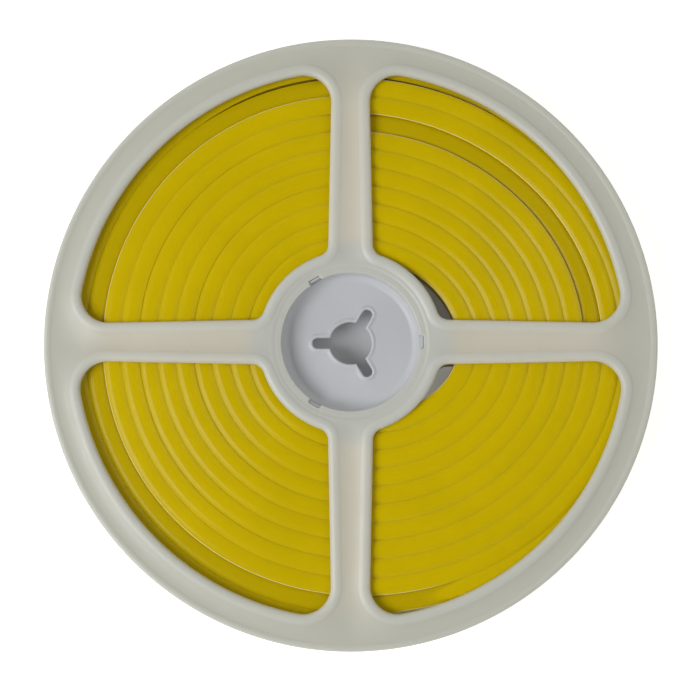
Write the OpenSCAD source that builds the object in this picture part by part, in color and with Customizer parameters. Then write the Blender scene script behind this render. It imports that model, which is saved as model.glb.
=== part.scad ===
// A flat plastic reel that lies on its rear flange, wound with one layer of oblong soft tubing.
// The Z axis is the reel's axis; z = 0 is the plane that the rear flange's beads stand on.

/* [Reel] */
// Diameter over the flanges
reel_d = 180; // [178:1:220]
// Free width between the two flanges
gap_w = 11.2; // [8:0.1:16]

/* [Flange] */
// Thickness of the flange plate
plate_t = 1.6; // [1.4:0.1:3]
// Width of the band from the reel's edge to the windows
band_w = 9.5; // [7:0.1:14]
// Diameter of the rounded edge, which stands proud of the plate's outer face
edge_d = 1.9; // [1.7:0.1:3.2]
// Number of windows, and of spokes between them
window_n = 4; // [4:1:4]
// Radius of the windows' inner arc
window_inner_r = 27; // [26.8:0.1:34]
// Width of a spoke where it meets the band
spoke_rim_w = 11.1; // [9:0.1:16]
// Width of a spoke where it meets the hub ring
spoke_hub_w = 13.2; // [10:0.1:20]
// Radius of a window's two outer corners
outer_corner_r = 8; // [5:0.1:12]
// Radius of a window's two inner corners
inner_corner_r = 3.6; // [2:0.1:6]
// Width of the bead around each window
bead_w = 3.4; // [2:0.1:4]
// Height of the bead over the plate's outer face
bead_h = 0.5; // [0.3:0.1:1.5]

/* [Hub ring] */
// Radius of the flange's round opening, which is the cup's inner radius too
opening_r = 20.3; // [18:0.1:22]
// Radius of the shallow step around the opening
step_r = 23.3; // [22.8:0.1:24]
// Depth of the shallow step
step_h = 0.3; // [0.1:0.1:0.4]
// Number of notches in the edge of the opening
notch_n = 3; // [2:1:6]
// Width of a notch
notch_w = 3.7; // [2:0.1:6]
// Depth of a notch, outwards from the opening
notch_depth = 1.2; // [0.9:0.1:2]

/* [Hub] */
// Thickness of the drum's wall
drum_wall = 0.9; // [0.8:0.1:2]
// How far the drum's end goes into the flange's seat
seat_h = 0.5; // [0.3:0.1:0.6]
// Thickness of the disc across the drum
disc_t = 2; // [1.5:0.1:3]
// Radius of the fillet between the disc and the drum's wall
fillet_r = 2.6; // [1:0.1:3]
// How far the recesses behind the notches go into the drum's wall
recess_depth = 0.6; // [0.2:0.1:0.6]
// How far those recesses reach down from the drum's end
recess_h = 3; // [1:0.1:4]

/* [Arbor] */
// Radius of the arbor hole
arbor_r = 6.25; // [6:0.05:8]
// Width of a keyway
key_w = 3.1; // [2:0.1:3.4]
// Radius from the reel's axis to the end of a keyway
key_tip_r = 11.3; // [9:0.1:13]
// Width of the raised rim around the hole and its keyways
key_rim_w = 0.9; // [0.5:0.1:1.5]
// Height of that rim over the disc
key_rim_h = 0.5; // [0.2:0.1:1]

/* [Tubing] */
// Width of the tubing across the reel's radius
tube_w = 5.2; // [4:0.1:5.4]
// Height of the tubing along the reel's axis
tube_h = 9.6; // [7:0.1:10]
// How far some turns lie lower than the others
stagger = 1.2; // [0:0.1:1.3]
// Number of turns that lie side by side
turn_n = 12; // [6:1:12]
// Depth of the groove between two turns
groove_h = 1.1; // [0.5:0.1:2]

/* [Hidden] */
$fn = 96;

fit_gap = 0.3;      // clearance between pieces that slide apart
end_gap = 0.1;      // free space at the end of the drum's seat
cut = 1;            // overshoot of a cutting solid
bond = 0.2;         // how far one solid sinks into the next where they join
coil_gap = 0.15;    // free space between the drum and the first turn
turn_gap = 0.1;     // free space between two turns
coil_lift = 0.1;    // free space between the rear flange and the lowest turns
reel_r = reel_d / 2;
edge_r = edge_d / 2;
window_outer_r = reel_r - band_w;
mid_z = bead_h + plate_t + gap_w / 2;
reel_h = 2 * mid_z;
drum_r = opening_r + drum_wall;
seat_r = drum_r + fit_gap;
drum_h = gap_w + 2 * seat_h;
pitch = tube_w + turn_gap;
tubing_inner_r = drum_r + coil_gap;
tubing_outer_r = tubing_inner_r + turn_n * pitch;

// The straight side of a window leans by spoke_lean and passes the axis at side_dist.
spoke_lean = atan((spoke_hub_w - spoke_rim_w) / 2 / (window_outer_r - window_inner_r));
side_dist = (spoke_hub_w / 2 + window_inner_r * tan(spoke_lean)) * cos(spoke_lean);
side_normal = [sin(spoke_lean), cos(spoke_lean)];
side_run = [cos(spoke_lean), -sin(spoke_lean)];

// Points along an arc about a centre, from angle a0 to angle a1
function arc(centre, r, a0, a1, steps) =
    [for (i = [0:steps]) let (a = a0 + (a1 - a0) * i / steps) centre + r * [cos(a), sin(a)]];

// Centre of a corner that touches the window's side and lies dist from the axis
function corner_centre(dist, r) =
    (side_dist + r) * side_normal + sqrt(dist * dist - (side_dist + r) * (side_dist + r)) * side_run;

function bearing(p) = atan2(p[1], p[0]);

// The lower half of a window's outline, from the middle of its inner arc to the middle of its outer arc
function half_outline(grow) =
    let (
        inner = corner_centre(window_inner_r + inner_corner_r, inner_corner_r),
        outer = corner_centre(window_outer_r - outer_corner_r, outer_corner_r)
    )
    concat(
        arc([0, 0], window_inner_r - grow, 45, bearing(inner), 5),
        arc(inner, inner_corner_r + grow, bearing(inner) + 180, 270 - spoke_lean, 6),
        arc(outer, outer_corner_r + grow, -90 - spoke_lean, bearing(outer), 9),
        arc([0, 0], window_outer_r + grow, bearing(outer), 45, 12)
    );

// A window in the first quadrant, grown outwards on all sides
module window_2d(grow = 0) {
    half = half_outline(grow);
    mirrored = [for (i = [len(half) - 1:-1:0]) [half[i][1], half[i][0]]];
    polygon(concat(half, mirrored));
}

module each_window() {
    for (i = [0:window_n - 1]) rotate(i * 360 / window_n) children();
}

module each_notch() {
    for (i = [0:notch_n - 1]) rotate(i * 360 / notch_n) children();
}

// A radial block that cuts the notches and the recesses behind them
module notch_block(outer_r, h) {
    inner_r = opening_r - cut;
    translate([inner_r, -notch_w / 2, 0]) cube([outer_r - inner_r, notch_w, h]);
}

// A flange with its outer face up; its inner face lies on z = 0
module flange() {
    difference() {
        union() {
            rotate_extrude() {
                translate([opening_r, 0]) square([reel_r - edge_r - opening_r, plate_t]);
                translate([reel_r - edge_r, edge_r]) circle(r = edge_r);
            }
            each_window() translate([0, 0, plate_t - bond])
                linear_extrude(bead_h + bond) window_2d(bead_w);
        }
        each_window() translate([0, 0, -cut])
            linear_extrude(plate_t + bead_h + 2 * cut) window_2d();
        // the shallow step around the opening
        translate([0, 0, plate_t - step_h]) cylinder(r = step_r, h = bead_h + cut);
        // the seat for the drum's end
        translate([0, 0, -cut]) cylinder(r = seat_r, h = cut + seat_h + end_gap);
        each_notch() translate([0, 0, -cut]) notch_block(opening_r + notch_depth, plate_t + 2 * cut);
    }
}

// The arbor hole with its keyways, or the rim around them when grown
module arbor_shape(grow, h) {
    cylinder(r = arbor_r + grow, h = h);
    for (a = [60, 180, 300]) rotate(a) {
        translate([0, -key_w / 2 - grow, 0]) cube([key_tip_r - key_w / 2, key_w + 2 * grow, h]);
        translate([key_tip_r - key_w / 2, 0, 0]) cylinder(r = key_w / 2 + grow, h = h);
    }
}

// One half of the drum's section: its wall, half of the disc and the fillet between them
module drum_half_section() {
    translate([opening_r, 0]) square([drum_wall, drum_h / 2]);
    square([opening_r + drum_wall / 2, disc_t / 2]);
    translate([opening_r - fillet_r, disc_t / 2]) difference() {
        square([fillet_r + drum_wall / 2, fillet_r]);
        translate([0, fillet_r]) circle(r = fillet_r);
    }
}

module front_flange() {
    color("#e6e3d3") translate([0, 0, reel_h - bead_h - plate_t]) flange();
}

module rear_flange() {
    color("#e6e3d3") translate([0, 0, bead_h + plate_t]) mirror([0, 0, 1]) flange();
}

module hub_core() {
    rim_z = disc_t / 2 + key_rim_h;
    color("#dfe3ea") translate([0, 0, mid_z]) difference() {
        union() {
            rotate_extrude() {
                drum_half_section();
                mirror([0, 1]) drum_half_section();
            }
            translate([0, 0, -rim_z]) arbor_shape(key_rim_w, 2 * rim_z);
        }
        translate([0, 0, -rim_z - cut]) arbor_shape(0, 2 * (rim_z + cut));
        for (side = [0, 1]) mirror([0, 0, side]) each_notch()
            translate([0, 0, drum_h / 2 - recess_h])
                notch_block(opening_r + recess_depth, recess_h + cut);
    }
}

// The wound turns as one ring, with a groove where each turn meets the next
module tubing() {
    groove_w = groove_h * 0.8;
    coil_h = tube_h + stagger;
    lines = [for (i = [1:turn_n - 1]) tubing_inner_r + i * pitch];
    top = [for (r = lines, p = [[-groove_w, 0], [0, -groove_h], [groove_w, 0]]) [r, coil_h] + p];
    low = [for (i = [len(top) - 1:-1:0]) [top[i][0], coil_h - top[i][1]]];
    section = concat(
        [[tubing_inner_r, 0], [tubing_inner_r, coil_h]], top,
        [[tubing_outer_r, coil_h], [tubing_outer_r, 0]], low
    );
    color("#d9bd10") translate([0, 0, bead_h + plate_t + coil_lift]) rotate_extrude() polygon(section);
}

rear_flange();
hub_core();
tubing();
front_flange();
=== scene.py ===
"""The looks of a flat windowed reel wound with one layer of soft tubing.
"""
import math

import bmesh
import bpy
import numpy as np
from mathutils import Matrix, Vector
from mathutils.geometry import delaunay_2d_cdt


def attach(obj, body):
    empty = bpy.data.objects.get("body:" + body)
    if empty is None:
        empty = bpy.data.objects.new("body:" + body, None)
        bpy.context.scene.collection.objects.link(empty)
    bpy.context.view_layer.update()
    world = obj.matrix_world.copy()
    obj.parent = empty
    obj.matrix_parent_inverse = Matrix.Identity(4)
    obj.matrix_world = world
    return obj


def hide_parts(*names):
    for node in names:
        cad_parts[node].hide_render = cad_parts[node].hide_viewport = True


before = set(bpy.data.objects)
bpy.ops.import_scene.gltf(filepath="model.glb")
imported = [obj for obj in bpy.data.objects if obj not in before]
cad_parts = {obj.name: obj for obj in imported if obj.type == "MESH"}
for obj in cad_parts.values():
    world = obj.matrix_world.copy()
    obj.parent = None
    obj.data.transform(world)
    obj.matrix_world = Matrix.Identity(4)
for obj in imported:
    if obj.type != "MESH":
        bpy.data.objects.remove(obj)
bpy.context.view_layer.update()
scene = bpy.context.scene
scene.view_settings.view_transform = "Standard"
MM = 0.001
TAU = 2 * math.pi

# ---- sizes, the same as the CAD's ----
REEL_R, PLATE_T, GAP_W, EDGE_R = 90.0, 1.6, 11.2, 0.95
BEAD_W, BEAD_H = 3.4, 0.5
WINDOW_OUTER_R, WINDOW_INNER_R, WINDOW_N = 80.5, 27.0, 4
SPOKE_RIM_W, SPOKE_HUB_W = 11.1, 13.2
OUTER_CORNER_R, INNER_CORNER_R = 8.0, 3.6
OPENING_R, STEP_R, STEP_H = 20.3, 23.3, 0.3
NOTCH_W, NOTCH_DEPTH, NOTCH_ANGLES = 3.7, 1.2, (0, 120, 240)
DRUM_R, DRUM_TOP, SEAT_R, SEAT_H = 21.2, GAP_W / 2 + 0.5, 21.5, 0.6
RECESS_DEPTH, RECESS_H = 0.6, 3.0
DISC_T, FILLET_R = 2.0, 2.6
ARBOR_R, KEY_W, KEY_TIP_R, KEY_ANGLES = 6.25, 3.1, 11.3, (60, 180, 300)
TUBE_H, PITCH = 9.6, 5.3
MID_Z = BEAD_H + PLATE_T + GAP_W / 2
FRONT_Z = 2 * MID_Z - BEAD_H
# Sizes that only the looks need: a collar fills the drum's seat, and the turns touch each other.
COLLAR_R, TUBE_W = 21.45, 5.29
CREST = BEAD_W / 2

# ---- camera, which looks down on the front flange and leans a little ----
CAM_DISTANCE, CAM_LENS, CAM_SENSOR = 500.0, 87.86, 36.0
CAM_NEAR, CAM_FAR = 0.01, 20.0
CAM_AIM = Vector((-0.15, -2.43, FRONT_Z))
LEAN_X, LEAN_Y = -0.0044, 0.0686
look = Vector((LEAN_X, LEAN_Y, -math.sqrt(1 - LEAN_X ** 2 - LEAN_Y ** 2)))
cam_data = bpy.data.cameras.new("camera")
cam_data.lens, cam_data.sensor_width = CAM_LENS, CAM_SENSOR
cam_data.clip_start, cam_data.clip_end = CAM_NEAR, CAM_FAR
camera = bpy.data.objects.new("camera", cam_data)
scene.collection.objects.link(camera)
camera.location = (CAM_AIM - look * CAM_DISTANCE) * MM
cam_right = look.cross(Vector((0, 1, 0))).normalized()
cam_axes = Matrix((cam_right, cam_right.cross(look), -look)).transposed()
camera.rotation_euler = cam_axes.to_euler()
scene.camera = camera


# ---- mesh helpers ----
CREASE = math.radians(40)  # edges sharper than this stay sharp under smooth shading


class Shell:
    """Closed loops of points joined by strips and planar fills into one mesh."""

    def __init__(self):
        self.points, self.faces, self.smooth = [], [], []

    def loop(self, points):
        first = len(self.points)
        self.points.extend(tuple(map(float, p)) for p in points)
        return list(range(first, len(self.points)))

    def face(self, corners, smooth=False):
        self.faces.append(tuple(corners))
        self.smooth.append(smooth)

    def strip(self, a, b, flip=False, smooth=True, closed=True, skip=()):
        """Quads between two loops of the same length. Loop a is at the left when walking up to loop b."""
        n = len(a)
        for i in range(n if closed else n - 1):
            if i in skip:
                continue
            j = (i + 1) % n
            quad = (a[i], a[j], b[j], b[i])
            self.face(quad[::-1] if flip else quad, smooth)

    def strips(self, loops, flip=False, smooth=True):
        for a, b in zip(loops, loops[1:]):
            self.strip(a, b, flip, smooth)

    def fill(self, loops, flip=False):
        """A planar fill of what an odd number of the loops goes round."""
        index = [i for loop in loops for i in loop]
        flat = [Vector(self.points[i][:2]) for i in index]
        edges, start = [], 0
        for loop in loops:
            n = len(loop)
            edges += [(start + k, start + (k + 1) % n) for k in range(n)]
            start += n
        co, _, tris, source, _, _ = delaunay_2d_cdt(flat, edges, [], 0, 1e-7)
        xy = np.array([tuple(c) for c in co])
        tri = np.array(tris)
        mid = xy[tri].mean(1)
        inside = np.zeros(len(tri), int)
        for loop in loops:
            ring = np.array([self.points[i][:2] for i in loop])
            nxt = np.roll(ring, -1, 0)
            for (x0, y0), (x1, y1) in zip(ring, nxt):
                if y0 == y1:
                    continue
                hit = (y0 > mid[:, 1]) != (y1 > mid[:, 1])
                at = x0 + (mid[:, 1] - y0) / (y1 - y0) * (x1 - x0)
                inside += hit & (mid[:, 0] < at)
        back = [index[s[0]] for s in source]
        for t, odd in zip(tri, inside % 2):
            if not odd:
                continue
            a, b, c = (xy[k] for k in t)
            area = (b[0] - a[0]) * (c[1] - a[1]) - (b[1] - a[1]) * (c[0] - a[0])
            corners = [back[k] for k in t]
            if (area < 0) != flip:
                corners.reverse()
            self.face(corners)

    def make(self, name, lift=0.0, mirror=False):
        """The mesh object, in metres, mirrored in z if asked and then moved up by lift."""
        mesh = bpy.data.meshes.new(name)
        sign = -1 if mirror else 1
        points = [(x * MM, y * MM, (lift + sign * z) * MM) for x, y, z in self.points]
        faces = [f[::-1] for f in self.faces] if mirror else self.faces
        mesh.from_pydata(points, [], faces)
        mesh.polygons.foreach_set("use_smooth", self.smooth)
        work = bmesh.new()
        work.from_mesh(mesh)
        bmesh.ops.delete(work, geom=[v for v in work.verts if not v.link_faces], context="VERTS")
        if len(work.faces) > 1:
            bmesh.ops.recalc_face_normals(work, faces=work.faces)
        work.to_mesh(mesh)
        work.free()
        mesh.set_sharp_from_angle(angle=CREASE)
        obj = bpy.data.objects.new(name, mesh)
        scene.collection.objects.link(obj)
        return obj


def arc(centre, r, a0, a1, steps):
    """Points along an arc, from a0 to a1 degrees."""
    angles = [math.radians(a0 + (a1 - a0) * i / steps) for i in range(steps + 1)]
    return [(centre[0] + r * math.cos(a), centre[1] + r * math.sin(a)) for a in angles]


def ease(x, a, b):
    """0 below a, 1 above b, smooth between."""
    t = min(1.0, max(0.0, (x - a) / (b - a)))
    return t * t * (3 - 2 * t)


def turned(points, degrees):
    """The points turned about the reel's axis."""
    c, s = math.cos(math.radians(degrees)), math.sin(math.radians(degrees))
    return [(c * p[0] - s * p[1], s * p[0] + c * p[1], *p[2:]) for p in points]


def at_z(points, z):
    return [(p[0], p[1], z) for p in points]


# ---- the wound tubing ----
# The centreline is a flat spiral that lies loose round the drum. Each turn starts at TURN_START degrees and
# bulges at the right: (degrees into the turn, mm outside the turn's first radius).
ROUTE_START, ROUTE_END, TURN_START, FIRST_R = 285.0, 4240.0, 260.0, 23.95
BULGE = [
    (0, 0), (12, 0.5), (24, 1.17), (42, 3.22), (60, 5.86), (78, 8.7), (90, 9.85), (102, 10.1), (116, 9.67),
    (128, 8.79), (140, 7.6), (152, 6.74), (170, 6.15), (200, 5.95), (230, 5.8), (260, 5.4), (300, 5.3),
    (360, 5.3)]
# How far all turns lie outside that, by bearing: (degrees, mm).
SET_OUT = [
    (0, 0.35), (12, 0.1), (24, -0.3), (40, -0.5), (60, -1.1), (78, -1.5), (100, -1.4), (140, -1.35),
    (200, -1.35), (220, -1.2), (240, -1.05), (260, -0.8), (290, -0.6), (320, -0.1), (336, 0.3), (348, 0.5),
    (360, 0.35)]
# A running mean over these degrees rounds the corners of both tables.
MEAN_OVER = [2.2 * k for k in range(-4, 5)]
# The last turn leaves a narrow gap for a short way: how wide, and where it opens and closes.
LAST_GAP, GAP_OPENS, GAP_CLOSES = 0.7, (4005, 4045), (4065, 4090)
# Stretches that sit lower in the free width between the flanges: (first degree, last degree).
LOW_RUNS, LOW_DEPTH = [(2885, 2972), (3697, 3890), (4020, 4300)], 1.15
TUBE_Z = MID_Z + 0.43


def radius_at(phi):
    total = 0.0
    for shift in MEAN_OVER:
        turn, into = divmod(phi + shift - TURN_START, 360.0)
        total += float(np.interp(into, *zip(*BULGE))) + PITCH * turn
        total += float(np.interp((phi + shift) % 360.0, *zip(*SET_OUT)))
    gap = LAST_GAP * ease(phi, *GAP_OPENS) * (1 - ease(phi, *GAP_CLOSES))
    return FIRST_R + total / len(MEAN_OVER) + gap


def height_at(phi):
    # two slow waves keep the turns from being perfectly level
    z = TUBE_Z + 0.08 * math.sin(math.radians(0.37 * phi + 40)) + 0.04 * math.sin(math.radians(1.31 * phi))
    for first, last in LOW_RUNS:
        z -= LOW_DEPTH * ease(phi, first - 12, first + 6) * (1 - ease(phi, last - 6, last + 12))
    return z


def route_point(phi):
    r = radius_at(phi)
    return Vector((r * math.cos(math.radians(phi)), r * math.sin(math.radians(phi)), height_at(phi)))


ROUTE_STEP = 3.0
count = int(round((ROUTE_END - ROUTE_START) / ROUTE_STEP))
route_phi = [ROUTE_START + ROUTE_STEP * i for i in range(count + 1)]
route = [route_point(phi) for phi in route_phi]

# The tubing is nearly flat across its middle and slopes more towards its edges: (mm from the middle,
# degrees). A rounded corner goes on from EDGE_SLOPE to CORNER_END.
SLOPES = [(0, 0), (0.5, 1.5), (0.95, 6), (1.35, 15), (1.75, 22), (2.2, 26), (2.65, 29)]
EDGE_SLOPE, CORNER_END = math.radians(27), math.radians(80)
TOP_STEPS, CORNER_STEPS = 9, 4
# The radius of a corner against its neighbour, and how much rounder it gets where it stands free.
TIGHT_CORNER, FREE_CORNER = 0.05, 0.3
# The bore at a cut end, as half width and half height, and how deep it is modelled.
BORE_W, BORE_H, BORE_DEPTH = 1.5, 2.3, 4.0


def tube_quarter(corner_r):
    """From the middle of the top over the rounded corner and down the side, as (across, up) points."""
    half_w, (xs, degrees) = TUBE_W / 2, zip(*SLOPES)
    corner_x = half_w - corner_r * (math.sin(CORNER_END) - math.sin(EDGE_SLOPE))
    points, step = [(0.0, TUBE_H / 2)], corner_x / TOP_STEPS
    for i in range(TOP_STEPS):
        slope = math.radians(float(np.interp(step * (i + 0.5), xs, degrees)))
        points.append((step * (i + 1), points[-1][1] - step * math.tan(slope)))
    centre_x = corner_x - corner_r * math.sin(EDGE_SLOPE)
    centre_y = points[-1][1] - corner_r * math.cos(EDGE_SLOPE)
    for i in range(1, CORNER_STEPS + 1):
        t = EDGE_SLOPE + (CORNER_END - EDGE_SLOPE) * i / CORNER_STEPS
        points.append((centre_x + corner_r * math.sin(t), centre_y + corner_r * math.cos(t)))
    return points + [(half_w, points[-1][1] - 0.3), (half_w, 2.0)]


def tube_section(inner_r, outer_r):
    """The whole outline, with the radius of the corners on the reel's side and on the outer side."""
    halves = []
    for corner_r in (outer_r, inner_r):
        quarter = tube_quarter(corner_r)
        halves.append(quarter + [(quarter[-1][0], 0.0)] + [(x, -y) for x, y in reversed(quarter)])
    return halves[0] + [(-x, y) for x, y in reversed(halves[1][1:-1])]


def bared(phi, neighbour):
    """How far the tubing's corner stands free of the turn beside it, from 0 to 1."""
    has_neighbour = ROUTE_START < neighbour < ROUTE_END
    drop = height_at(phi) - height_at(neighbour) if has_neighbour else 1.0
    return ease(drop, 0.3, 0.9)


def glint_stretch_at(phi):
    """How strong the painted highlight along the outer corner is: it is painted in two stretches of every
    turn.
    """
    at = phi % 360
    below = ease(at, 268, 278) * (1 - ease(at, 305, 325))
    above = ease(at, 84, 94) * (1 - ease(at, 105, 130))
    return 0.5 * max(below, above)


def corner_marks(outer, inner):
    """For each point of the outline, how strong its painted highlight is: only the points of a corner are
    marked.
    """
    # index of the last point of a half, which has two quarters and a point between them
    half_n = 2 * (TOP_STEPS + CORNER_STEPS + 3)
    first, last = TOP_STEPS + 1, TOP_STEPS + CORNER_STEPS - 1
    halves = [[share if first <= min(k, half_n - k) <= last else 0.0 for k in range(half_n + 1)]
              for share in (outer, inner)]
    return halves[0] + halves[1][1:-1]


tube = Shell()
rings, painted_glint = [], []
for i, p in enumerate(route):
    ahead = route[min(i + 1, count)] - route[max(i - 1, 0)]
    ahead.normalize()
    side = ahead.cross(Vector((0, 0, 1))).normalized()
    up = side.cross(ahead)
    inner, outer = (bared(route_phi[i], route_phi[i] + turn) for turn in (-360, 360))
    section = tube_section(TIGHT_CORNER + FREE_CORNER * inner, TIGHT_CORNER + FREE_CORNER * outer)
    # painted highlight: free corners, and two stretches of every turn's outer corner, get a pale line painted
    # along them
    painted_glint += corner_marks(max(outer, glint_stretch_at(route_phi[i])), 0.8 * inner)
    rings.append(tube.loop([tuple(p + side * x + up * y) for x, y in section]))
    if i in (0, count):
        # the cut end: a rim, and the bore inside it
        n = len(section)
        back = ahead * (BORE_DEPTH if i == 0 else -BORE_DEPTH)
        mouth = [(BORE_W * math.sin(TAU * k / n), BORE_H * math.cos(TAU * k / n)) for k in range(n)]
        lip = tube.loop([tuple(p + side * x + up * y) for x, y in mouth])
        deep = tube.loop([tuple(p + back + side * x + up * y) for x, y in mouth])
        tube.strip(rings[-1], lip, flip=i == 0, smooth=False)
        tube.strip(lip, deep, flip=i == 0)
        tube.face(deep if i else deep[::-1])
        painted_glint += [0.0] * 2 * n
tube.strips(rings, flip=True)
tubing = tube.make("wound_tubing")
tubing.data.attributes.new("painted_corner_glint", "FLOAT", "POINT").data.foreach_set("value", painted_glint)
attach(tubing, "wound_hub")
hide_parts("tubing")

# ---- outlines of the windows, the notched opening and the keyed hole ----
# The straight side of a window leans by SPOKE_LEAN and passes the reel's axis at SIDE_DIST.
SPOKE_LEAN = math.degrees(math.atan((SPOKE_HUB_W - SPOKE_RIM_W) / 2 / (WINDOW_OUTER_R - WINDOW_INNER_R)))
LEAN = math.radians(SPOKE_LEAN)
SIDE_DIST = (SPOKE_HUB_W / 2 + WINDOW_INNER_R * math.tan(LEAN)) * math.cos(LEAN)
SIDE_STEPS = 16


def corner_centre(dist, r):
    """Centre of a corner of radius r that touches the window's side and lies dist from the axis."""
    off = SIDE_DIST + r
    run = math.sqrt(dist * dist - off * off)
    return (off * math.sin(LEAN) + run * math.cos(LEAN), off * math.cos(LEAN) - run * math.sin(LEAN))


def window_outline(grow):
    """The window in the first quadrant, grown outwards on all sides."""
    inner = corner_centre(WINDOW_INNER_R + INNER_CORNER_R, INNER_CORNER_R)
    outer = corner_centre(WINDOW_OUTER_R - OUTER_CORNER_R, OUTER_CORNER_R)
    b_in = math.degrees(math.atan2(inner[1], inner[0]))
    b_out = math.degrees(math.atan2(outer[1], outer[0]))
    half = arc((0, 0), WINDOW_INNER_R - grow, 45, b_in, 16)
    half += arc(inner, INNER_CORNER_R + grow, b_in + 180, 270 - SPOKE_LEAN, 12)[1:]
    start = half[-1]
    tail = arc(outer, OUTER_CORNER_R + grow, -90 - SPOKE_LEAN, b_out, 14)
    run = (tail[0][0] - start[0], tail[0][1] - start[1])
    half += [(start[0] + run[0] * k / SIDE_STEPS, start[1] + run[1] * k / SIDE_STEPS)
             for k in range(1, SIDE_STEPS)]
    half += tail + arc((0, 0), WINDOW_OUTER_R + grow, b_out, 45, 40)[1:]
    return half + [(y, x) for x, y in reversed(half[1:-1])]


def lobed_outline(r, half_w, tip, corner_r, grow, angles, steps):
    """A circle with radial lobes of width 2 half_w that reach out to tip, grown outwards."""
    points = []
    mouth = math.degrees(math.asin((half_w + grow) / (r + grow)))
    gap = 360 / len(angles)
    corner_x, corner_y = tip - corner_r, half_w - corner_r
    shared = 0 if corner_y > 0 else 1  # the two corners of a round-ended lobe meet in one point
    for a in angles:
        lobe = [((r + grow) * math.cos(math.radians(mouth)), -(half_w + grow))]
        lobe += arc((corner_x, -corner_y), corner_r + grow, -90, 0, 8)
        lobe += arc((corner_x, corner_y), corner_r + grow, 0, 90, 8)[shared:]
        lobe += arc((0, 0), r + grow, mouth, gap - mouth, steps)[:-1]
        points += turned(lobe, a)
    return points


def circle(r, n):
    return [(r * math.cos(TAU * i / n), r * math.sin(TAU * i / n)) for i in range(n)]


# ---- a flange, outer face up, inner face at z 0 ----
WALL_Z = 0.9  # where the window's upright wall starts to roll over into the bead
WALL_LEAN = 0.02
ROLL_STEPS, FALL_STEPS = 11, 9


def bead_profile():
    """(grow, z) from the inner face, up the window's wall, over the bead and down to the plate."""
    rows = [(0.16, 0.0), (0.05, 0.05), (0.0, 0.16), (0.0, 0.5), (WALL_LEAN, WALL_Z)]
    top = PLATE_T + BEAD_H
    for i in range(1, ROLL_STEPS + 1):
        t = math.pi / 2 * i / ROLL_STEPS
        rows.append((CREST - (CREST - WALL_LEAN) * math.cos(t), WALL_Z + (top - WALL_Z) * math.sin(t)))
    for i in range(1, FALL_STEPS):
        g = i / FALL_STEPS
        rows.append((CREST + (BEAD_W - CREST) * g, top - BEAD_H * g ** 2.1))
    return rows + [(BEAD_W - 0.03, PLATE_T + 0.05), (BEAD_W + 0.06, PLATE_T)]


def rim_profile():
    """(radius, z) from the inner face round the edge and softly down to the outer face."""
    rows = arc((REEL_R - EDGE_R, EDGE_R), EDGE_R, -90, 90, 15)
    return rows + [(88.72, 1.885), (88.4, 1.84), (88.1, 1.75), (87.85, 1.66), (87.6, PLATE_T)]


def notched_outline(grow):
    """The opening with its three notches, grown outwards."""
    return lobed_outline(OPENING_R, NOTCH_W / 2, OPENING_R + NOTCH_DEPTH, 0.5, grow, NOTCH_ANGLES, 64)


def make_flange(name, lift, mirror):
    s = Shell()
    outer_face, inner_face = [], []
    for q in range(WINDOW_N):
        loops = [s.loop(at_z(turned(window_outline(g), 90 * q), z)) for g, z in bead_profile()]
        s.strips(loops)
        inner_face.append(loops[0])
        outer_face.append(loops[-1])
    loops = [s.loop(at_z(circle(r, 360), z)) for r, z in rim_profile()]
    s.strips(loops)
    inner_face.append(loops[0])
    outer_face.append(loops[-1])
    # the shallow step, the opening's rounded edge with its notches, and the drum's seat behind it
    step_z = PLATE_T - STEP_H
    loops = [s.loop(at_z(circle(r, 240), z)) for r, z in
             ((STEP_R + 0.1, PLATE_T), (STEP_R - 0.2, PLATE_T - 0.04), (STEP_R - 0.5, PLATE_T - 0.12),
              (STEP_R - 0.8, step_z + 0.07), (STEP_R - 1.0, step_z + 0.02), (STEP_R - 1.2, step_z))]
    s.strips(loops)
    outer_face.append(loops[0])
    edge = [s.loop(at_z(notched_outline(g), z)) for g, z in
            ((0.4, step_z), (0.2, step_z - 0.05), (0.06, step_z - 0.18), (0.0, step_z - 0.36),
             (0.0, SEAT_H))]
    s.fill([loops[-1], edge[0]])
    s.strips(edge)
    seat = [(max(SEAT_R, math.hypot(x, y)), math.atan2(y, x)) for x, y in notched_outline(0.12)]
    seat_loops = [s.loop([((r + g) * math.cos(a), (r + g) * math.sin(a), z) for r, a in seat])
                  for g, z in ((0, SEAT_H), (0, 0.1), (0.1, 0.0))]
    s.strips([edge[-1]] + seat_loops)
    inner_face.append(seat_loops[-1])
    s.fill(outer_face)
    s.fill(inner_face, flip=True)
    return s.make(name, lift, mirror)


# ---- the hub, with its disc's middle plane at z 0 ----
DISC_Z = DISC_T / 2
# The rim around the keyed hole: (how far outside the hole, z) from the disc over the rim into the hole.
KEY_RIM = [
    (1.45, DISC_Z), (1.3, DISC_Z + 0.03), (1.12, DISC_Z + 0.12), (0.95, DISC_Z + 0.26), (0.76, DISC_Z + 0.39),
    (0.54, DISC_Z + 0.47), (0.34, DISC_Z + 0.48), (0.17, DISC_Z + 0.4), (0.05, DISC_Z + 0.25),
    (0.0, DISC_Z + 0.05)]
# The drum's outside: (radius, z) from its end over the collar in the seat down to the plain wall.
COLLAR = [
    (OPENING_R + RECESS_DEPTH, DRUM_TOP), (COLLAR_R - 0.05, DRUM_TOP), (COLLAR_R, DRUM_TOP - 0.05),
    (COLLAR_R, DRUM_TOP - 0.42), (DRUM_R, DRUM_TOP - 0.55)]
RECESS_STEPS, BETWEEN_STEPS = 4, 56


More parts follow.
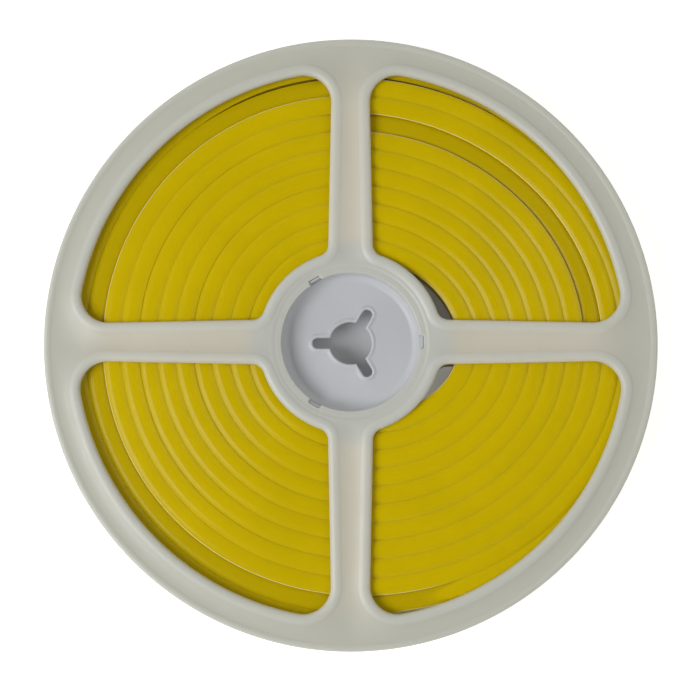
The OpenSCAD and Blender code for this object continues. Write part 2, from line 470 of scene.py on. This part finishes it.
def drum_columns():
    """Bearings of the drum's columns of points, and the columns at each recess."""
    mouth = math.degrees(math.asin(NOTCH_W / 2 / OPENING_R))
    angles, recesses = [], []
    for a in NOTCH_ANGLES:
        recesses.append(list(range(len(angles), len(angles) + RECESS_STEPS + 1)))
        angles += [a - mouth + 2 * mouth * k / RECESS_STEPS for k in range(RECESS_STEPS)]
        angles += [a + mouth + (120 - 2 * mouth) * k / BETWEEN_STEPS for k in range(BETWEEN_STEPS)]
    return angles, recesses


def cup_profile(low_z):
    """(radius, z) down the cup's wall, with a row at the recesses' lower ends, and round the fillet."""
    centre_r, centre_z = OPENING_R - FILLET_R, DISC_Z + FILLET_R
    low_r = centre_r + math.sqrt(FILLET_R ** 2 - (centre_z - low_z) ** 2)
    low = math.degrees(math.asin((centre_z - low_z) / FILLET_R))
    wall = [(OPENING_R + 0.1, DRUM_TOP), (OPENING_R, DRUM_TOP - 0.1), (OPENING_R, centre_z), (low_r, low_z)]
    return wall + arc((centre_r, centre_z), FILLET_R, -low, -90, 10)[1:]


def make_hub(name):
    s = Shell()
    low_z = DRUM_TOP - RECESS_H
    angles, recesses = drum_columns()
    skipped = [i for recess in recesses for i in recess[:-1]]

    def ring(r, z, columns):
        bearings = [math.radians(angles[c]) for c in columns]
        return s.loop([(r * math.cos(a), r * math.sin(a), z) for a in bearings])
    all_columns = range(len(angles))
    ends = []
    for sign in (1, -1):
        rows = [ring(r, sign * z, all_columns) for r, z in cup_profile(low_z)]
        for k, (a, b) in enumerate(zip(rows, rows[1:])):
            s.strip(a, b, skip=skipped if k < 3 else ())
        outer = [ring(r, sign * z, all_columns) for r, z in COLLAR]
        s.strip(rows[0], outer[0], skip=skipped)
        s.strips(outer)
        for recess in recesses:
            low_back = ring(OPENING_R + RECESS_DEPTH, sign * low_z, recess)
            s.strip([outer[0][c] for c in recess], low_back, closed=False)
            s.strip(low_back, [rows[3][c] for c in recess], closed=False, smooth=False)
            for k in (0, RECESS_STEPS):
                c = recess[k]
                s.face([rows[0][c], rows[1][c], rows[2][c], rows[3][c], low_back[k], outer[0][c]])
        rim = [s.loop(at_z(lobed_outline(ARBOR_R, KEY_W / 2, KEY_TIP_R, KEY_W / 2, g, KEY_ANGLES, 36),
                           sign * z)) for g, z in KEY_RIM]
        s.fill([rows[-1], rim[0]])
        s.strips(rim)
        ends += [outer[-1], rim[-1]]
    s.strip(ends[0], ends[2])
    s.strip(ends[1], ends[3])
    return s.make(name, MID_Z)


front = make_flange("front_flange_shell", FRONT_Z - PLATE_T, False)
rear = make_flange("rear_flange_shell", BEAD_H + PLATE_T, True)
hub = make_hub("hub_shell")
for piece, body, node, slot in ((front, "front_flange", "front_flange", "flange_plastic"),
                                (rear, "rear_flange", "rear_flange", "flange_plastic"),
                                (hub, "wound_hub", "hub_core", "hub_plastic")):
    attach(piece, body)
    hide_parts(node)


# ---- materials ----
class Nodes:
    """A few short words for building a material's node tree."""

    def __init__(self, name):
        self.material = bpy.data.materials.new(name)
        self.material.use_nodes = True
        self.tree = self.material.node_tree
        self.shader = self.tree.nodes["Principled BSDF"]
        self.place = self.add("ShaderNodeTexCoord").outputs["Object"]

    def add(self, kind, **settings):
        node = self.tree.nodes.new(kind)
        for key, value in settings.items():
            setattr(node, key, value)
        return node

    def link(self, a, b):
        self.tree.links.new(a, b)

    def put(self, socket, value):
        if hasattr(value, "is_linked"):
            self.link(value, socket)
        else:
            socket.default_value = value

    def noise(self, scale, detail=3.0, rough=0.5):
        n = self.add("ShaderNodeTexNoise")
        self.link(self.place, n.inputs["Vector"])
        n.inputs["Scale"].default_value = scale
        n.inputs["Detail"].default_value = detail
        n.inputs["Roughness"].default_value = rough
        return n.outputs["Fac"]

    def math(self, operation, a, b=0.0):
        n = self.add("ShaderNodeMath", operation=operation)
        self.put(n.inputs[0], a)
        self.put(n.inputs[1], b)
        return n.outputs[0]

    def ramp(self, value, low, high, a=0.0, b=1.0):
        """From a to b, smoothly, while the value goes from low to high."""
        n = self.add("ShaderNodeMapRange", interpolation_type="SMOOTHSTEP")
        self.put(n.inputs["Value"], value)
        for key, number in (("From Min", low), ("From Max", high), ("To Min", a), ("To Max", b)):
            n.inputs[key].default_value = number
        return n.outputs["Result"]

    def mix(self, factor, a, b):
        n = self.add("ShaderNodeMix", data_type="RGBA")
        self.put(n.inputs[0], factor)
        self.put(n.inputs[6], a)
        self.put(n.inputs[7], b)
        return n.outputs[2]

    def vector(self, operation, value, other=None):
        n = self.add("ShaderNodeVectorMath", operation=operation)
        self.link(value, n.inputs[0])
        if other is not None:
            n.inputs[1].default_value = other
        return n.outputs["Value" if operation == "LENGTH" else "Vector"]

    def radius(self):
        """Distance from the reel's axis, in metres."""
        return self.vector("LENGTH", self.vector("MULTIPLY", self.place, (1, 1, 0)))

    def along(self, axis):
        """The X, Y or Z coordinate, in metres."""
        split = self.add("ShaderNodeSeparateXYZ")
        self.link(self.place, split.inputs[0])
        return split.outputs[axis]

    def flattened(self, factor):
        """The surface's normal with its z part made larger, so that slopes look gentler."""
        normal = self.add("ShaderNodeNewGeometry").outputs["Normal"]
        return self.vector("NORMALIZE", self.vector("MULTIPLY", normal, (1, 1, factor)))

    def off_middle(self):
        """Distance from the reel's middle plane, in metres."""
        return self.math("ABSOLUTE", self.math("SUBTRACT", self.along("Z"), MID_Z * MM))

    def bump(self, height, strength, distance, before=None):
        n = self.add("ShaderNodeBump")
        n.inputs["Strength"].default_value = strength
        n.inputs["Distance"].default_value = distance
        self.link(height, n.inputs["Height"])
        if before is not None:
            self.link(before, n.inputs["Normal"])
        return n.outputs["Normal"]

    def finish(self, color, roughness, normal, **constants):
        self.put(self.shader.inputs["Base Color"], color)
        self.put(self.shader.inputs["Roughness"], roughness)
        self.link(normal, self.shader.inputs["Normal"])
        for key, value in constants.items():
            self.shader.inputs[key.replace("_", " ")].default_value = value
        return self.material


def srgb(r, g, b):
    """A colour given as 0-255 screen values, as the linear colour that shaders use."""
    def lin(v):
        v /= 255
        return v / 12.92 if v <= 0.04045 else ((v + 0.055) / 1.055) ** 2.4
    return (lin(r), lin(g), lin(b), 1.0)


def flange_plastic():
    m = Nodes("flange_plastic")
    cloud = m.ramp(m.noise(22.0, 4.0, 0.55), 0.35, 0.65)
    ivory = m.mix(cloud, srgb(212, 207, 189), srgb(217, 212, 195))
    # painted light: the plate is painted warmer where yellow tubing lies behind it, standing in for yellow
    # light shining through, and paler and cooler where no tubing shows through: on the outer band and round
    # the hub
    edge = m.ramp(m.radius(), 0.0680, 0.0830)
    ring = m.ramp(m.radius(), 0.0262, 0.0330, 1.0, 0.0)
    tinted_by_shine_through = m.mix(ring, m.mix(edge, ivory, srgb(203, 203, 190)), srgb(204, 205, 197))
    # painted light: the beads are thicker and stand higher, so they are painted whiter, standing in for the
    # light their crests catch and for less yellow light coming through
    plate_z = MID_Z - BEAD_H
    bead = m.ramp(m.off_middle(), (plate_z + 0.05) * MM, (plate_z + 0.4) * MM)
    crest_lit = m.mix(m.math("MULTIPLY", bead, 0.5), tinted_by_shine_through, srgb(213, 215, 207))
    speck = m.ramp(m.noise(260.0, 2.0, 0.6), 0.70, 0.78, 0.0, 0.2)
    color = m.mix(speck, crest_lit, srgb(188, 184, 168))
    rough = m.ramp(m.noise(900.0, 2.0, 0.5), 0.3, 0.7, 0.36, 0.46)
    waves = m.bump(m.noise(60.0, 2.0, 0.4), 0.10, 0.0004)
    normal = m.bump(m.noise(1400.0, 2.0, 0.5), 0.10, 0.00008, waves)
    return m.finish(color, rough, normal, IOR=1.49, Subsurface_Weight=0.25, Subsurface_Scale=0.0015,
                    Subsurface_Radius=(1.0, 0.95, 0.85))


# Three round ejector marks on the hub's disc, between the keyways.
MARK_ANGLES, MARK_AT_R, MARK_R = (-154, 86, -34), 14.3, 1.45


def hub_plastic():
    m = Nodes("hub_plastic")
    cloud = m.ramp(m.noise(30.0, 3.0, 0.5), 0.35, 0.65)
    color = m.mix(cloud, srgb(204, 206, 209), srgb(209, 211, 214))
    marks = None
    for degrees in MARK_ANGLES:
        x, y = turned([(MARK_AT_R, 0.0)], degrees)[0]
        middle = (x * MM, y * MM, (MID_Z + DISC_T / 2) * MM)
        far = m.vector("LENGTH", m.vector("SUBTRACT", m.place, middle))
        dip = m.ramp(far, (MARK_R - 0.2) * MM, MARK_R * MM)
        marks = dip if marks is None else m.math("MULTIPLY", marks, dip)
    normal = m.bump(marks, 0.35, 0.00006)
    normal = m.bump(m.noise(1300.0, 2.0, 0.5), 0.10, 0.00008, normal)
    rough = m.ramp(m.noise(700.0, 2.0, 0.5), 0.3, 0.7, 0.34, 0.44)
    return m.finish(color, rough, normal, IOR=1.49, Subsurface_Weight=0.15, Subsurface_Scale=0.001,
                    Subsurface_Radius=(0.9, 0.95, 1.0))


def tubing_skin():
    m = Nodes("tubing_skin")
    cloud = m.ramp(m.noise(35.0, 4.0, 0.6), 0.3, 0.7)
    color = m.mix(cloud, srgb(210, 184, 0), srgb(217, 190, 0))
    dust = m.ramp(m.noise(420.0, 3.0, 0.65), 0.68, 0.78, 0.0, 0.10)
    color = m.mix(dust, color, srgb(226, 210, 70))
    # painted shade: the turns that lie lower in the gap are painted a deeper yellow, standing in for the
    # shade of their higher neighbours
    height = m.off_middle()
    on_top = m.ramp(height, 2.8 * MM, 3.4 * MM)
    not_raised = m.ramp(height, 4.15 * MM, 4.5 * MM, 1.0, 0.0)
    color = m.mix(m.math("MULTIPLY", on_top, not_raised), color, srgb(199, 174, 0))
    # painted highlight: a corner that stands free of its neighbour is painted with a fine pale line, standing
    # in for the light it catches
    glint_attr = m.add("ShaderNodeAttribute", attribute_name="painted_corner_glint")
    color = m.mix(m.math("MULTIPLY", glint_attr.outputs["Fac"], 0.8), color, srgb(250, 244, 190))
    # light spreads inside the milky wall, so its slopes shade softly under a satin skin
    m.link(m.bump(m.noise(500.0, 3.0, 0.55), 0.08, 0.0001), m.shader.inputs["Coat Normal"])
    rough = m.ramp(m.noise(180.0, 3.0, 0.6), 0.3, 0.7, 0.4, 0.5)
    return m.finish(color, rough, m.flattened(2.5),
                    Specular_IOR_Level=0.0, Coat_Weight=0.36, Coat_IOR=1.41, Coat_Roughness=0.26,
                    Subsurface_Weight=0.25, Subsurface_Scale=0.0015, Subsurface_Radius=(1.0, 0.9, 0.2))


ivory, cool, yellow = flange_plastic(), hub_plastic(), tubing_skin()
for piece, material in ((front, ivory), (rear, ivory), (hub, cool), (tubing, yellow)):
    piece.data.materials.append(material)


# ---- floor, which glows round the reel and is dimmer under it ----
FLOOR_HALF, FLOOR_DROP = 2500.0, 0.05


def make_floor():
    m = Nodes("floor_paper")
    # a faint glow under the reel's lower right part
    east, south = m.ramp(m.along("X"), 0.016, 0.020), m.ramp(m.along("Y"), -0.004, 0.004, 0.16, 0.0)
    patch = m.math("MULTIPLY", east, south)
    glow = m.math("MAXIMUM", patch, m.ramp(m.radius(), 0.072, 0.089, 0.06, 0.80))
    grain = m.ramp(m.noise(40.0, 3.0, 0.5), 0.3, 0.7, 0.97, 1.0)
    m.put(m.shader.inputs["Emission Color"], (1.0, 1.0, 1.0, 1.0))
    m.link(m.math("MULTIPLY", glow, grain), m.shader.inputs["Emission Strength"])
    m.finish(srgb(205, 205, 207), 0.9, m.bump(m.noise(300.0), 0.05, 0.0002))
    s = Shell()
    corners = ((-1, -1), (1, -1), (1, 1), (-1, 1))
    s.face(s.loop([(x * FLOOR_HALF, y * FLOOR_HALF, 0) for x, y in corners]))
    plane = s.make("floor", lift=-FLOOR_DROP)
    plane.data.materials.append(m.material)


make_floor()


# ---- light ----
def area_light(name, azimuth, elevation, distance, size, power, color):
    """A round lamp, in metres and watts, that faces the origin from this azimuth and elevation."""
    data = bpy.data.lights.new(name, "AREA")
    data.shape, data.size, data.energy, data.color = "DISK", size, power, color
    lamp = bpy.data.objects.new(name, data)
    scene.collection.objects.link(lamp)
    a, e = math.radians(azimuth), math.radians(elevation)
    toward = Vector((math.cos(a) * math.cos(e), math.sin(a) * math.cos(e), math.sin(e)))
    lamp.location = toward * distance
    lamp.rotation_mode = "QUATERNION"
    lamp.rotation_quaternion = (-toward).to_track_quat("-Z", "Y")


area_light("key", 200, 49, 1.2, 0.7, 7.9, (0.99, 1.0, 1.02))
area_light("fill", 20, 50, 1.4, 1.0, 2.2, (1.0, 0.99, 0.96))

# the sky is brighter near the horizon than overhead
world = bpy.data.worlds.new("studio")
scene.world = world
world.use_nodes = True
sky = world.node_tree
direction = sky.nodes.new("ShaderNodeTexCoord")
split = sky.nodes.new("ShaderNodeSeparateXYZ")
overhead = sky.nodes.new("ShaderNodeMapRange")
overhead.interpolation_type = "SMOOTHSTEP"
for key, number in (("From Min", 0.45), ("From Max", 0.92), ("To Min", 0.55), ("To Max", 0.10)):
    overhead.inputs[key].default_value = number
sky.links.new(direction.outputs["Generated"], split.inputs[0])
sky.links.new(split.outputs["Z"], overhead.inputs["Value"])
sky.links.new(overhead.outputs["Result"], sky.nodes["Background"].inputs["Strength"])
sky.nodes["Background"].inputs["Color"].default_value = (1.0, 0.985, 0.955, 1.0)
